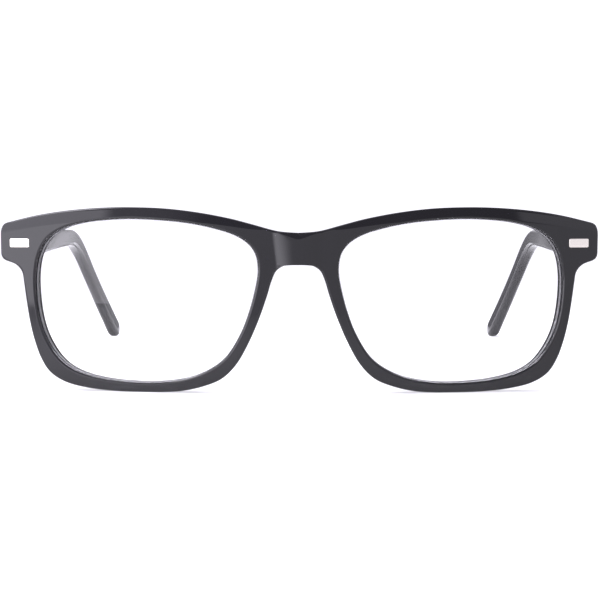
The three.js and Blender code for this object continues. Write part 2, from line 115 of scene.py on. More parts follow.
def stretch(curve, start, end, count):
    """count points evenly spaced along a closed curve from index start towards index end."""
    size = len(curve)
    path = [curve[(start + k) % size] for k in range((end - start) % size + 1)]
    lengths = [0.0]
    for p, q in zip(path, path[1:]):
        lengths.append(lengths[-1] + (q - p).length)
    points, k = [], 0
    for n in range(count):
        goal = lengths[-1] * n / count
        while lengths[k + 1] < goal:
            k += 1
        share = (goal - lengths[k]) / max(lengths[k + 1] - lengths[k], 1e-9)
        points.append(path[k].lerp(path[k + 1], share))
    return points


def nearest(curve, point):
    return min(range(len(curve)), key=lambda i: (curve[i] - Vector(point)).length)


def height_at(points, x):
    """The height at x of a smooth curve through points that run from left to right."""
    last = len(points) - 1
    k = max(1, next((i for i, p in enumerate(points) if p[0] >= x), last))
    before, start, end, after = (points[max(0, min(i, last))] for i in (k - 2, k - 1, k, k + 1))
    span = end[0] - start[0]
    t = min(max((x - start[0]) / span, 0), 1)
    rise_in = (end[1] - before[1]) / (end[0] - before[0]) * span
    rise_out = (after[1] - start[1]) / (after[0] - start[0]) * span
    return ((2 * t**3 - 3 * t**2 + 1) * start[1] + (t**3 - 2 * t**2 + t) * rise_in
            + (3 * t**2 - 2 * t**3) * end[1] + (t**3 - t**2) * rise_out)


def face_depth(x, z):
    """Depth of the worked front face behind the flat sheet's face."""
    crown_half = CROWN_HALF + CROWN_FLARE * min(max((z - BRIDGE_LOW) / BRIDGE_TALL, 0), 1)
    crown = -CROWN * max(0.0, 1 - (x / crown_half) ** 2)
    facet = (z - height_at(FACET_FOOT, x)) * FACET_SLOPE
    apart = crown - facet
    return 0.5 * (crown + facet + math.sqrt(apart * apart + CREASE**2))


def skin(name, rows, second):
    """A grid laid over rows of points in mm, with its seams merged and its faces outwards. The faces
    whose row and column pass the test called second take the second material."""
    across = len(rows[0]) - 1
    bpy.ops.mesh.primitive_grid_add(x_subdivisions=across, y_subdivisions=len(rows) - 1)
    piece = bpy.context.object
    piece.name = piece.data.name = name
    piece.data.vertices.foreach_set("co", [c * MM for row in rows for point in row for c in point])
    for face in piece.data.polygons:
        face.material_index = int(second(face.index // across, face.index % across))
    bpy.ops.object.mode_set(mode="EDIT")
    bpy.ops.mesh.select_all(action="SELECT")
    bpy.ops.mesh.remove_doubles(threshold=0.004 * MM)
    bpy.ops.mesh.dissolve_degenerate(threshold=0.002 * MM)
    bpy.ops.mesh.normals_make_consistent(inside=False)
    bpy.ops.object.mode_set(mode="OBJECT")
    return piece


def bend_front(x, depth):
    """Where a point of the flat front goes in plan when the front is bent."""
    angle = x / BEND_RADIUS
    return Vector(((BEND_RADIUS - depth) * math.sin(angle),
                   FACE_Y + BEND_RADIUS - (BEND_RADIUS - depth) * math.cos(angle)))


LENS_CENTRE = Vector((36.5, 21.5))
LENS_RADIUS = 130.0
LENS_THICK = 1.5
LENS_APEX = -0.45


def lens_edge_depth(x, z):
    """Depth in the sheet of the middle of the lens edge, which follows the lens's curve."""
    across, up = x - LENS_CENTRE.x, z - LENS_CENTRE.y
    sag = LENS_RADIUS - math.sqrt(LENS_RADIUS**2 - across**2 - up**2)
    return LENS_APEX + LENS_THICK / 2 + sag - across**2 / (2 * BEND_RADIUS)


opening = curve_through(LENS_OPENING, closed=True)
outline = (curve_through(BROW)[:-1] + corner_through(ENDPIECE_TOP) + corner_through(ENDPIECE_LOW)[:-1]
           + curve_through(OUTER_RIM) + curve_through(NASAL_RIM))
arch, brow = Vector((0, NASAL_RIM[-1][1])), Vector(BROW[0])
outline += [arch.lerp(brow, k / 24) for k in range(24)]
inner_edge, outer_edge = [], []
for (inner_a, outer_a), (inner_b, outer_b) in zip(FACING, FACING[1:] + FACING[:1]):
    inner = nearest(opening, inner_a), nearest(opening, inner_b)
    outer = nearest(outline, outer_a), nearest(outline, outer_b)
    longest = max(math.dist(inner_a, inner_b), math.dist(outer_a, outer_b))
    count = max(4, round(longest / SPOKE_SPACING))
    inner_edge += stretch(opening, *inner, count)
    outer_edge += stretch(outline, *outer, count)

ARC = [math.radians(a) for a in (0, 18, 36, 54, 72, 90)]
sections = []
for i, (start, end) in enumerate(zip(inner_edge, outer_edge)):
    across = end - start
    length = across.length
    across.normalize()
    along_in = (inner_edge[(i + 1) % len(inner_edge)] - inner_edge[i - 1]).normalized()
    along_out = (outer_edge[(i + 1) % len(outer_edge)] - outer_edge[i - 1]).normalized()
    fade = min(end.x / FADE, 1)
    round_out = EDGE * fade * fade * (3 - 2 * fade)
    edge_in = EDGE / max(0.5, abs(across.cross(along_in)))
    edge_out = round_out / max(0.5, abs(across.cross(along_out)))
    edge_back = edge_in * BACK_EDGE / EDGE

    def front_at(distance):
        place = start + across * distance
        return face_depth(place.x, place.y)

    groove = lens_edge_depth(start.x, start.y)
    face_end = length - edge_out
    path = [(0, groove + GROOVE_HALF), (GROOVE_DEPTH, groove), (0, groove - GROOVE_HALF)]
    for a in ARC[::-1]:
        path.append((edge_in * (1 - math.sin(a)), front_at(edge_in) + EDGE * (1 - math.cos(a))))
    for k in range(1, FACE_STEPS):
        distance = edge_in + (face_end - edge_in) * k / FACE_STEPS
        path.append((distance, front_at(distance)))
    for a in ARC:
        depth = front_at(face_end) + round_out * (1 - math.cos(a))
        path.append((face_end + edge_out * math.sin(a), depth))
    for a in ARC:
        path.append((face_end + edge_out * math.cos(a), SHEET - round_out * (1 - math.sin(a))))
    path += [(face_end + (edge_back - face_end) * k / BACK_STEPS, SHEET) for k in range(1, BACK_STEPS)]
    path += [(edge_back * (1 - math.sin(a)), SHEET - BACK_EDGE * (1 - math.cos(a))) for a in ARC]
    path.append(path[0])
    section = []
    for distance, depth in path:
        place = start + across * distance
        section.append((place.x, depth, place.y))
    sections.append(section)
sections.append(sections[0])
front = skin("front_acetate", sections, lambda row, column: column < 3 or column == len(path) - 2)

# The faces on the middle plane go, and the half is mirrored and bent.
bpy.ops.object.mode_set(mode="EDIT")
bpy.ops.mesh.select_all(action="DESELECT")
bpy.ops.object.mode_set(mode="OBJECT")
for face in front.data.polygons:
    face.select = all(abs(front.data.vertices[v].co.x) < 1e-6 for v in face.vertices)
bpy.ops.object.mode_set(mode="EDIT")
bpy.ops.mesh.delete(type="FACE")
bpy.ops.object.mode_set(mode="OBJECT")
bpy.ops.object.modifier_add(type="MIRROR")
front.modifiers["Mirror"].merge_threshold = 0.002 * MM
bpy.ops.object.modifier_apply(modifier="Mirror")
half_width = max(v.co.x for v in front.data.vertices)
bpy.ops.object.modifier_add(type="SIMPLE_DEFORM")
front.modifiers["SimpleDeform"].deform_method = "BEND"
front.modifiers["SimpleDeform"].deform_axis = "Z"
front.modifiers["SimpleDeform"].angle = 2 * half_width / (BEND_RADIUS * MM)
bpy.ops.object.modifier_apply(modifier="SimpleDeform")
bpy.ops.object.mode_set(mode="EDIT")
bpy.ops.mesh.select_all(action="SELECT")
bpy.ops.transform.translate(value=(0, FACE_Y * MM, 0))
bpy.ops.mesh.normals_make_consistent(inside=False)
bpy.ops.object.mode_set(mode="OBJECT")
bpy.ops.object.shade_smooth_by_angle(angle=math.radians(35))


def srgb(hex_colour):
    """An sRGB hex colour as the linear colour that a shader takes."""
    parts = [int(hex_colour[i:i + 2], 16) / 255 for i in (1, 3, 5)]
    return [c / 12.92 if c <= 0.04045 else ((c + 0.055) / 1.055) ** 2.4 for c in parts] + [1.0]


def add_node(tree, kind, settings=None, values=(), **inputs):
    """A shader node with its settings, and its inputs, given in order or by name, set to a value or
    linked from a socket."""
    node = tree.nodes.new(kind)
    for key, value in (settings or {}).items():
        setattr(node, key, value)
    named = [(node.inputs[key.replace("_", " ")], value) for key, value in inputs.items()]
    for socket, value in [*zip(node.inputs, values), *named]:
        if isinstance(value, bpy.types.NodeSocket):
            tree.links.new(value, socket)
        else:
            socket.default_value = value
    return node


def new_material(name):
    material = bpy.data.materials.new(name)
    material.use_nodes = True
    material.node_tree.nodes.clear()
    return material, material.node_tree


def polished_acetate(name, colour, haze):
    """Cellulose acetate sheet, IOR 1.49, tumble-polished: a deep colour, clouded every 9 mm, under a
    wet-looking gloss with smears 2.5 mm apart and a faint waviness left by the tumbling. colour and
    haze are each a darkest and a lightest value."""
    material, tree = new_material(name)
    place = add_node(tree, "ShaderNodeTexCoord").outputs["Object"]
    clouds = add_node(tree, "ShaderNodeTexNoise", Vector=place, Scale=1 / (9 * MM), Detail=3.0)
    tone = add_node(tree, "ShaderNodeMix", {"data_type": "RGBA"}, Factor=clouds.outputs["Fac"],
                    A=srgb(colour[0]), B=srgb(colour[1]))
    smears = add_node(tree, "ShaderNodeTexNoise", Vector=place, Scale=1 / (2.5 * MM), Detail=5.0)
    gloss = add_node(tree, "ShaderNodeMapRange", Value=smears.outputs["Fac"],
                     To_Min=haze[0], To_Max=haze[1])
    waves = add_node(tree, "ShaderNodeTexNoise", Vector=place, Scale=1 / (4 * MM), Detail=1.0)
    bump = add_node(tree, "ShaderNodeBump", Height=waves.outputs["Fac"], Strength=0.4,
                    Distance=0.006 * MM)
    shader = add_node(tree, "ShaderNodeBsdfPrincipled", Base_Color=tone.outputs["Result"],
                      Roughness=gloss.outputs["Result"], IOR=1.49, Normal=bump.outputs["Normal"])
    add_node(tree, "ShaderNodeOutputMaterial", Surface=shader.outputs["BSDF"])
    return material


def milled_acetate(name, colour):
    """The same black acetate where only the cutter has been: nearly matt, with the cutter's fine
    marks 0.15 mm apart, whose steep sides swallow most of the gloss."""
    material, tree = new_material(name)
    place = add_node(tree, "ShaderNodeTexCoord").outputs["Object"]
    marks = add_node(tree, "ShaderNodeTexNoise", Vector=place, Scale=1 / (0.15 * MM), Detail=2.0)
    gloss = add_node(tree, "ShaderNodeMapRange", Value=marks.outputs["Fac"], To_Min=0.55, To_Max=0.75)
    bump = add_node(tree, "ShaderNodeBump", Height=marks.outputs["Fac"], Strength=0.3,
                    Distance=0.01 * MM)
    shader = add_node(tree, "ShaderNodeBsdfPrincipled", Base_Color=srgb(colour), Specular_IOR_Level=0.2,
                      Roughness=gloss.outputs["Result"], IOR=1.49, Normal=bump.outputs["Normal"])
    add_node(tree, "ShaderNodeOutputMaterial", Surface=shader.outputs["BSDF"])
    return material


black_acetate = polished_acetate("black cellulose acetate, tumbled", ("#0A090D", "#0F0E13"),
                                 (0.03, 0.08))
front.data.materials.append(black_acetate)
front.data.materials.append(milled_acetate("black cellulose acetate, milled", "#0B0A0E"))
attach(front, "front")
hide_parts("front")


# ---- Demo lenses -------------------------------------------------------------------------------
# Thin clear acrylic blanks, moulded to a shallow sphere and edged with a V that snaps into the
# rim's groove. A thin coating leaves only a trace of the room mirrored in each face.
LENS_BEVEL = 0.45
LENS_GAP = 0.1
LENS_RIM_POINTS = 220
LENS_RINGS = 14


def demo_lens(name, way):
    edge = stretch(opening, 0, len(opening) - 1, LENS_RIM_POINTS)
    centre = LENS_CENTRE
    around = []
    for i, point in enumerate(edge):
        along = (edge[(i + 1) % len(edge)] - edge[i - 1]).normalized()
        outwards = Vector((-along.y, along.x))
        around.append((point - outwards * LENS_GAP - centre, point + outwards * LENS_BEVEL - centre))
    turn = centre.x / BEND_RADIUS
    at = bend_front(centre.x, 0)

    def ring(points, share, behind):
        row = []
        for flat in points + points[:1]:
            across = (BEND_RADIUS - SHEET / 2) * math.sin(flat.x / BEND_RADIUS) * share
            up = flat.y * share
            depth = LENS_APEX + behind + LENS_RADIUS - math.sqrt(LENS_RADIUS**2 - across**2 - up**2)
            row.append((way * (at.x + across * math.cos(turn) - depth * math.sin(turn)),
                        at.y + across * math.sin(turn) + depth * math.cos(turn), centre.y + up))
        return row

    mouth = [pair[0] for pair in around]
    crest = [pair[1] for pair in around]
    shares = [k / LENS_RINGS for k in range(LENS_RINGS + 1)]
    rows = [ring(mouth, s, 0) for s in shares]
    rows.append(ring(crest, 1, LENS_THICK / 2))
    rows += [ring(mouth, s, LENS_THICK) for s in shares[::-1]]
    piece = skin(name, rows, lambda row, column: row in (len(shares) - 1, len(shares)))
    bpy.ops.object.shade_smooth_by_angle(angle=math.radians(25))
    return piece


def clear_acrylic(name, colour, mirror, grain, roughness):
    """Clear acrylic, IOR 1.49. Its moulded faces are colourless, with faint wiping smears 12 mm apart
    and an anti-reflection coat that leaves the mirror of an IOR of 1.25. Its edge, ground to a V, is
    bare and frosted, with grinding marks 0.2 mm apart, and painted grey: painted shade that stands
    for the black groove round it."""
    material, tree = new_material(name)
    place = add_node(tree, "ShaderNodeTexCoord").outputs["Object"]
    marks = add_node(tree, "ShaderNodeTexNoise", Vector=place, Scale=1 / (grain * MM), Detail=4.0)
    gloss = add_node(tree, "ShaderNodeMapRange", Value=marks.outputs["Fac"],
                     To_Min=roughness[0], To_Max=roughness[1])
    shader = add_node(tree, "ShaderNodeBsdfPrincipled", Base_Color=srgb(colour),
                      Roughness=gloss.outputs["Result"], IOR=mirror, Transmission_Weight=1.0)
    add_node(tree, "ShaderNodeOutputMaterial", Surface=shader.outputs["BSDF"])
    return material


moulded = clear_acrylic("clear acrylic, moulded and coated", "#FCFCFD", 1.25, 12, (0.0, 0.012))
# The ground edge's grey #5A595E is painted shade, standing for the black groove round the edge.
ground = clear_acrylic("clear acrylic, ground edge, painted grey shade", "#5A595E", 1.49, 0.2, (0.3, 0.5))
for side, way in (("left", 1), ("right", -1)):
    lens = demo_lens(f"demo_lens_{side}", way)
    lens.data.materials.append(moulded)
    lens.data.materials.append(ground)
    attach(lens, "front")
    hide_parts(f"lens_{side}")


# ---- Plaques -----------------------------------------------------------------------------------
# Small rectangles of nickel silver, stamped, brushed lengthwise and pressed into the face of each
# endpiece on two pins. Their rims are polished, so they catch a thin light.
PLAQUE_ACROSS, PLAQUE_UP = 67.35, 35.2
PLAQUE_SIZE = (4.95, 0.62, 2.08)
PLAQUE_PROUD = 0.1  # how far it stands out of the face
PLAQUE_CORNER = 0.32
PLAQUE_RIM = 0.07


def select_edges(piece, test):
    """Selects in edit mode the edges that pass a test of their two ends."""
    bpy.ops.object.mode_set(mode="EDIT")
    bpy.ops.mesh.select_mode(type="EDGE")
    bpy.ops.mesh.select_all(action="DESELECT")
    bpy.ops.object.mode_set(mode="OBJECT")
    for edge in piece.data.edges:
        edge.select = test(*(piece.data.vertices[v].co for v in edge.vertices))
    bpy.ops.object.mode_set(mode="EDIT")


def block(name, size, middle):
    """A cube primitive of a size in mm at a place in mm, its place kept in its mesh."""
    bpy.ops.object.select_all(action="DESELECT")
    bpy.ops.mesh.primitive_cube_add(size=MM, location=Vector(middle) * MM, scale=size)
    piece = bpy.context.object
    piece.name = piece.data.name = name
    bpy.ops.object.transform_apply(location=True, rotation=True, scale=True)
    return piece


def put_on_face(piece, across, way):
    """Carries a piece modelled round the sheet's middle to its place on the bent face."""
    at = bend_front(across, 0)
    turn = Matrix.Rotation(across / BEND_RADIUS, 4, "Z")
    piece.data.transform(Matrix.Translation((at.x * MM, at.y * MM, 0)) @ turn)
    if way < 0:
        bpy.ops.object.mode_set(mode="EDIT")
        bpy.ops.mesh.select_all(action="SELECT")
        bpy.ops.transform.resize(value=(-1, 1, 1), center_override=(0, 0, 0))
        bpy.ops.mesh.normals_make_consistent(inside=False)
        bpy.ops.object.mode_set(mode="OBJECT")


LINE_LENGTH = 25  # a brush line or draw mark is this many times as long as it is wide


def metal(name, colour, roughness, grain, along):
    """A metal, warm grey if nickel silver and colder if steel. grain is how far apart the brush lines
    or draw marks lie in mm, coarser than the real 0.02 so that they show, and along is the axis, from
    0 for X to 2 for Z, that they run along."""
    material, tree = new_material(name)
    place = add_node(tree, "ShaderNodeTexCoord").outputs["Object"]
    squash = [1 / (grain * MM)] * 3
    squash[along] /= LINE_LENGTH
    lines = add_node(tree, "ShaderNodeMapping", Vector=place, Scale=squash)
    scratches = add_node(tree, "ShaderNodeTexNoise", Vector=lines.outputs["Vector"], Scale=1.0,
                         Detail=2.0)
    tone = add_node(tree, "ShaderNodeMix", {"data_type": "RGBA"}, Factor=scratches.outputs["Fac"],
                    A=srgb(colour[0]), B=srgb(colour[1]))
    gloss = add_node(tree, "ShaderNodeMapRange", Value=scratches.outputs["Fac"],
                     To_Min=roughness[0], To_Max=roughness[1])
    bump = add_node(tree, "ShaderNodeBump", Height=scratches.outputs["Fac"], Strength=0.3,
                    Distance=0.01 * MM)
    shader = add_node(tree, "ShaderNodeBsdfPrincipled", Base_Color=tone.outputs["Result"], Metallic=1.0,
                      Roughness=gloss.outputs["Result"], Normal=bump.outputs["Normal"])
    add_node(tree, "ShaderNodeOutputMaterial", Surface=shader.outputs["BSDF"])
    return material


brushed_plaque = metal("nickel silver, stamped and brushed", ("#DDD6CE", "#EEE9E3"), (0.18, 0.3),
                       0.08, 0)
for side, way in (("left", 1), ("right", -1)):
    plaque = block(f"endpiece_plaque_{side}", PLAQUE_SIZE,
                   (0, PLAQUE_SIZE[1] / 2 - PLAQUE_PROUD, PLAQUE_UP))
    select_edges(plaque, lambda a, b: abs(a.y - b.y) > PLAQUE_SIZE[1] / 2 * MM)
    bpy.ops.mesh.bevel(offset=PLAQUE_CORNER * MM, segments=5, affect="EDGES")
    bpy.ops.object.mode_set(mode="OBJECT")
    select_edges(plaque, lambda a, b: a.y < 0 and b.y < 0)
    bpy.ops.mesh.bevel(offset=PLAQUE_RIM * MM, segments=3, affect="EDGES")
    bpy.ops.object.mode_set(mode="OBJECT")
    put_on_face(plaque, PLAQUE_ACROSS, way)
    bpy.ops.object.shade_smooth_by_angle(angle=math.radians(35))
    plaque.data.materials.append(brushed_plaque)
    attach(plaque, "front")
    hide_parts(f"plaque_{side}")


# ---- Nose pads ---------------------------------------------------------------------------------
# Drops of the same black acetate, cut from rod, bonded with solvent behind the nasal rims and
# polished with them, so that they look grown on.
PAD_ACROSS, PAD_UP = 9.95, 19.4
PAD_WIDTH, PAD_DEPTH, PAD_HEIGHT = 2.5, 5.2, 14.0
PAD_LEAN = 0.32  # the upper end leans towards the bridge by this angle
PAD_SUNK = 0.2

for side, way in (("left", 1), ("right", -1)):
    bpy.ops.object.select_all(action="DESELECT")
    bpy.ops.mesh.primitive_uv_sphere_add(segments=64, ring_count=40, radius=MM)
    pad = bpy.context.object
    pad.name = pad.data.name = f"nose_pad_acetate_{side}"
    bpy.ops.object.mode_set(mode="EDIT")
    bpy.ops.transform.resize(value=(PAD_WIDTH / 2, PAD_DEPTH, PAD_HEIGHT / 2))
    bpy.ops.mesh.bisect(plane_co=(0, 0.05 * MM, 0), plane_no=(0, 1, 0), use_fill=True, clear_inner=True)
    bpy.ops.object.mode_set(mode="OBJECT")
    lean = Matrix.Rotation(-PAD_LEAN, 4, "Y")
    pad.data.transform(Matrix.Translation((0, (SHEET - PAD_SUNK) * MM, PAD_UP * MM)) @ lean)
    put_on_face(pad, PAD_ACROSS, way)
    bpy.ops.object.shade_smooth_by_angle(angle=math.radians(50))
    pad.data.materials.append(black_acetate)
    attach(pad, "front")
    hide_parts(f"nose_pad_{side}")


# ---- Hinges ------------------------------------------------------------------------------------
# Five-barrel hinges of nickel silver: a leaf with three barrels sunk hot into the back of the
# endpiece, one with two barrels sunk into the temple, and a slotted steel screw through them.
HINGE_UP = 35.4
HINGE_ACROSS = 66.9
PITCH = 1.3  # height of a barrel
BARREL = 1.2
BARREL_GAP = 0.03
LEAF = 0.75
LEAF_WIDTH = 5.0
LEAF_SHIFT = -1.5  # the front leaf's middle from the hinge's place across the endpiece
PROUD = 0.09  # how far a leaf stands out of the acetate
FRONT_ARM = (1.9, 2.9, PITCH - 0.1)
FRONT_ARM_AT = (-0.15, SHEET + 1.2)
TEMPLE_ARM = (2.2, 2.0, PITCH - 0.1)
TEMPLE_ARM_AT = (1.1, -0.13)  # from the screw
TEMPLE_INSIDE = 66.56  # the temple's inner face at the hinge
LEAF_BEHIND = 0.3  # the temple leaf's plate starts this far behind the screw
LEAF_EDGE, ARM_EDGE, HEAD_EDGE = 0.16, 0.09, 0.12
SHAFT, HEAD, HEAD_TALL = 0.62, 1.0, 0.55
SLOT = (3, 0.32, 0.6)
SLOT_DEPTH = 0.22
hinge_low, hinge_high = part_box("hinge_screw_left")
hinge_x = (hinge_low.x + hinge_high.x) / 2 / MM
hinge_y = (hinge_low.y + hinge_high.y) / 2 / MM
temple_leaf_low, temple_leaf_high = (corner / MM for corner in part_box("temple_hinge_leaf_left"))


def rod(name, radius, low, high, x, y):
    """An upright cylinder primitive from one height to another, at x and y in mm."""
    bpy.ops.object.select_all(action="DESELECT")
    bpy.ops.mesh.primitive_cylinder_add(vertices=48, radius=radius * MM, depth=(high - low) * MM,
                                        location=(x * MM, y * MM, (low + high) / 2 * MM))
    piece = bpy.context.object
    piece.name = piece.data.name = name
    bpy.ops.object.transform_apply(location=True, rotation=True, scale=True)
    return piece


def soften(piece, width):
    """Bevels every sharp edge of the active piece."""
    bpy.ops.object.modifier_add(type="BEVEL")
    bevel = piece.modifiers["Bevel"]
    bevel.width = width * MM
    bevel.segments = 3
    bevel.limit_method = "ANGLE"
    bevel.angle_limit = math.radians(50)
    bpy.ops.object.modifier_apply(modifier="Bevel")


def joined(name, pieces):
    bpy.ops.object.select_all(action="DESELECT")
    for piece in pieces:
        piece.select_set(True)
    bpy.context.view_layer.objects.active = pieces[0]
    bpy.ops.object.join()
    pieces[0].name = pieces[0].data.name = name
    return pieces[0]


def arms(indices, size, x, y):
    """The arms that carry a leaf's barrels, one for each barrel's place from the lowest."""
    made = []
    for index in indices:
        arm = block("arm", size, (x, y, HINGE_UP + (index - 2) * PITCH))
        soften(arm, ARM_EDGE)
        made.append(arm)
    return made


def barrels(indices, way):
    made = []
    for index in indices:
        low = HINGE_UP + (index - 2.5) * PITCH + BARREL_GAP
        barrel = rod("barrel", BARREL, low, low + PITCH - 2 * BARREL_GAP, way * hinge_x, hinge_y)
        soften(barrel, ARM_EDGE)
        made.append(barrel)
    return made


hinge_metal = metal("nickel silver, barrel-polished", ("#A7A29A", "#C4BFB6"), (0.2, 0.34), 0.1, 2)
screw_steel = metal("stainless steel, turned", ("#B9B7B3", "#D2D0CC"), (0.16, 0.26), 0.05, 0)
for side, way in (("left", 1), ("right", -1)):
    plate = block("plate", (LEAF_WIDTH, LEAF, 5 * PITCH),
                  (LEAF_SHIFT, SHEET + PROUD - LEAF / 2, HINGE_UP))
    soften(plate, LEAF_EDGE)
    leaf = joined(f"front_leaf_{side}", [plate] + arms((0, 2, 4), FRONT_ARM, *FRONT_ARM_AT))
    put_on_face(leaf, HINGE_ACROSS, way)
    leaf = joined(f"front_leaf_{side}", [leaf] + barrels((0, 2, 4), way))
    bpy.ops.object.shade_smooth_by_angle(angle=math.radians(40))
    leaf.data.materials.append(hinge_metal)
    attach(leaf, "front")
    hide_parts(f"front_hinge_leaf_{side}")

    long_side = temple_leaf_high.y - temple_leaf_low.y - BARREL - LEAF_BEHIND
    middle_y = temple_leaf_high.y - long_side / 2
    plate = block("plate", (LEAF, long_side, 5 * PITCH),
                  (way * (TEMPLE_INSIDE + LEAF / 2 - PROUD), middle_y, HINGE_UP))
    soften(plate, LEAF_EDGE)
    temple_arms = arms((1, 3), TEMPLE_ARM, way * (hinge_x + TEMPLE_ARM_AT[0]),
                       hinge_y + TEMPLE_ARM_AT[1])
    leaf = joined(f"temple_leaf_{side}", [plate] + temple_arms + barrels((1, 3), way))
    bpy.ops.object.shade_smooth_by_angle(angle=math.radians(40))
    leaf.data.materials.append(hinge_metal)
    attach(leaf, f"temple_{side}")
    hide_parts(f"temple_hinge_leaf_{side}")

    top = HINGE_UP + 2.5 * PITCH + 0.05
    shaft = rod("shaft", SHAFT, HINGE_UP - 2.5 * PITCH + 0.1, top + 0.1, way * hinge_x, hinge_y)
    head = rod("head", HEAD, top, top + HEAD_TALL, way * hinge_x, hinge_y)
    soften(head, HEAD_EDGE)
    slot_up = top + HEAD_TALL - SLOT_DEPTH + SLOT[2] / 2
    slot_cut = block("slot_cut", SLOT, (way * hinge_x, hinge_y, slot_up))
    bpy.ops.object.select_all(action="DESELECT")
    bpy.context.view_layer.objects.active = head
    head.select_set(True)
    bpy.ops.object.modifier_add(type="BOOLEAN")
    head.modifiers["Boolean"].object = slot_cut
    bpy.ops.object.modifier_apply(modifier="Boolean")
    bpy.data.objects.remove(slot_cut)
    screw = joined(f"slotted_screw_{side}", [head, shaft])
    bpy.ops.object.shade_smooth_by_angle(angle=math.radians(40))
    screw.data.materials.append(screw_steel)
    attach(screw, "front")
    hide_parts(f"hinge_screw_{side}")


# ---- Temples -----------------------------------------------------------------------------------
# Arms of the same black acetate, 145 mm from hinge to tip, cut from sheet round a core wire, bent
# hot over the ear and tumbled. The butt end is mitred to meet the endpiece.
ARM_LENGTH = 89.0
EAR_RADIUS = 29.0
EAR_ANGLE = math.radians(47.04)
TEMPLE_HEIGHT = [(0, 8.7), (14, 8.3), (45, 6.4), (85, 4.8), (105, 4.8), (125, 5.6), (147, 6.6)]
TEMPLE_THICK = [(0, 4.1), (14, 4.1), (45, 4.0), (85, 3.9), (105, 3.7), (125, 3.5), (147, 3.8)]
TEMPLE_INNER = [(0, 66.6), (14, 66.8), (45, 68.5), (85, 70.9), (105, 70.6), (125, 67.6), (147, 63.2)]
BUTT_ACROSS = HINGE_ACROSS + 3.4
BUTT_GAP = 0.2
BUTT_Y = bend_front(BUTT_ACROSS, SHEET + BUTT_GAP).y
TEMPLE_END = 145 + hinge_y - BUTT_Y
DROOP = 0.7  # how far the arm falls from the hinge to the bend
CORNER, TIP_CORNER = 1.15, 1.7
ROUNDER_FROM, ROUNDER_OVER = 100, 30  # where its corners go from the one to the other
TIP_ROUND = 3.3
TIP_THIN = 0.35
BUTT_EDGE = 0.4
MITRE_OVER = 3
ARM_ROWS, TIP_ROWS = 130, 14


def temple_section(distance, shrink, thin, corner, mitre):
    """A ring of points round the temple, square to its centreline at a distance from the butt. shrink
    and thin scale its height and thickness, and mitre is how much further back its outside lies."""
    turn = min(max((distance - ARM_LENGTH) / EAR_RADIUS, 0), EAR_ANGLE)
    past = max(0, distance - ARM_LENGTH - EAR_RADIUS * EAR_ANGLE)
    straight = min(distance, ARM_LENGTH)
    y = BUTT_Y + straight + EAR_RADIUS * math.sin(turn) + past * math.cos(EAR_ANGLE)
    z = (HINGE_UP - DROOP * straight / ARM_LENGTH - EAR_RADIUS * (1 - math.cos(turn))
         - past * math.sin(EAR_ANGLE))
    thick = height_at(TEMPLE_THICK, distance) * thin
    middle = height_at(TEMPLE_INNER, distance) + height_at(TEMPLE_THICK, distance) / 2
    half = height_at(TEMPLE_HEIGHT, distance) * shrink / 2
    corner = min(corner, half * 0.9, thick * 0.45)
    ring = []
    for quarter in range(4):
        side_x = 1 if quarter in (0, 3) else -1
        side_z = 1 if quarter < 2 else -1
        for k in range(9):
            angle = math.radians(90 * quarter + 90 * k / 8)
            x = side_x * (thick / 2 - corner) + corner * math.cos(angle)
            up = side_z * (half - corner) + corner * math.sin(angle)
            ring.append((middle + x, y + up * math.sin(turn) + x * mitre, z + up * math.cos(turn)))
    return ring + ring[:1]


def temple_acetate(name, way):
    straight_end = TEMPLE_END - TIP_ROUND
    mitre = math.tan(BUTT_ACROSS / BEND_RADIUS)
    rows = []
    for a in ARC:
        less = 2 * BUTT_EDGE * (1 - math.sin(a))
        rows.append(temple_section(BUTT_EDGE * (1 - math.cos(a)), 1 - less / TEMPLE_HEIGHT[0][1],
                                   1 - less / TEMPLE_THICK[0][1], CORNER - less / 2, mitre))
    middle = sum((Vector(p) for p in rows[0][1:]), Vector()) / (len(rows[0]) - 1)
    rows[:0] = [[middle.lerp(Vector(p), share) for p in rows[0]] for share in (0, 0.5)]
    for k in range(1, ARM_ROWS + 1):
        distance = BUTT_EDGE + (straight_end - BUTT_EDGE) * k / ARM_ROWS
        share = min(max((distance - ROUNDER_FROM) / ROUNDER_OVER, 0), 1)
        corner = CORNER + (TIP_CORNER - CORNER) * share
        rows.append(temple_section(distance, 1, 1, corner, mitre * max(0.0, 1 - distance / MITRE_OVER)))
    for k in range(1, TIP_ROWS + 1):
        a = math.radians(90 * k / TIP_ROWS)
        thin = TIP_THIN + (1 - TIP_THIN) * math.sqrt(max(0, math.cos(a)))
        rows.append(temple_section(straight_end + TIP_ROUND * math.sin(a), max(math.cos(a), 0.01), thin,
                                   TIP_CORNER, 0))
    middle = sum((Vector(p) for p in rows[-1][1:]), Vector()) / (len(rows[-1]) - 1)
    rows.append([middle] * len(rows[-1]))
    rows = [[(way * x, y, z) for x, y, z in row] for row in rows]
    piece = skin(name, rows, lambda row, column: False)
    bpy.ops.object.shade_smooth_by_angle(angle=math.radians(40))
    return piece


for side, way in (("left", 1), ("right", -1)):
    temple = temple_acetate(f"temple_acetate_{side}", way)
    temple.data.materials.append(black_acetate)
    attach(temple, f"temple_{side}")
    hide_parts(f"temple_{side}")


# ---- Core wires --------------------------------------------------------------------------------
# Flat nickel-silver wires shot hot into the temples, where the black acetate hides them. They keep
# the shapes that they were loaded with, and take the metal's finish.
drawn_wire = metal("nickel silver, drawn", ("#9A958D", "#B5B0A8"), (0.25, 0.4), 0.12, 1)
for side in ("left", "right"):
    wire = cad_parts[f"core_wire_{side}"]
    for wire_slot in wire.material_slots:
        wire_slot.material = drawn_wire


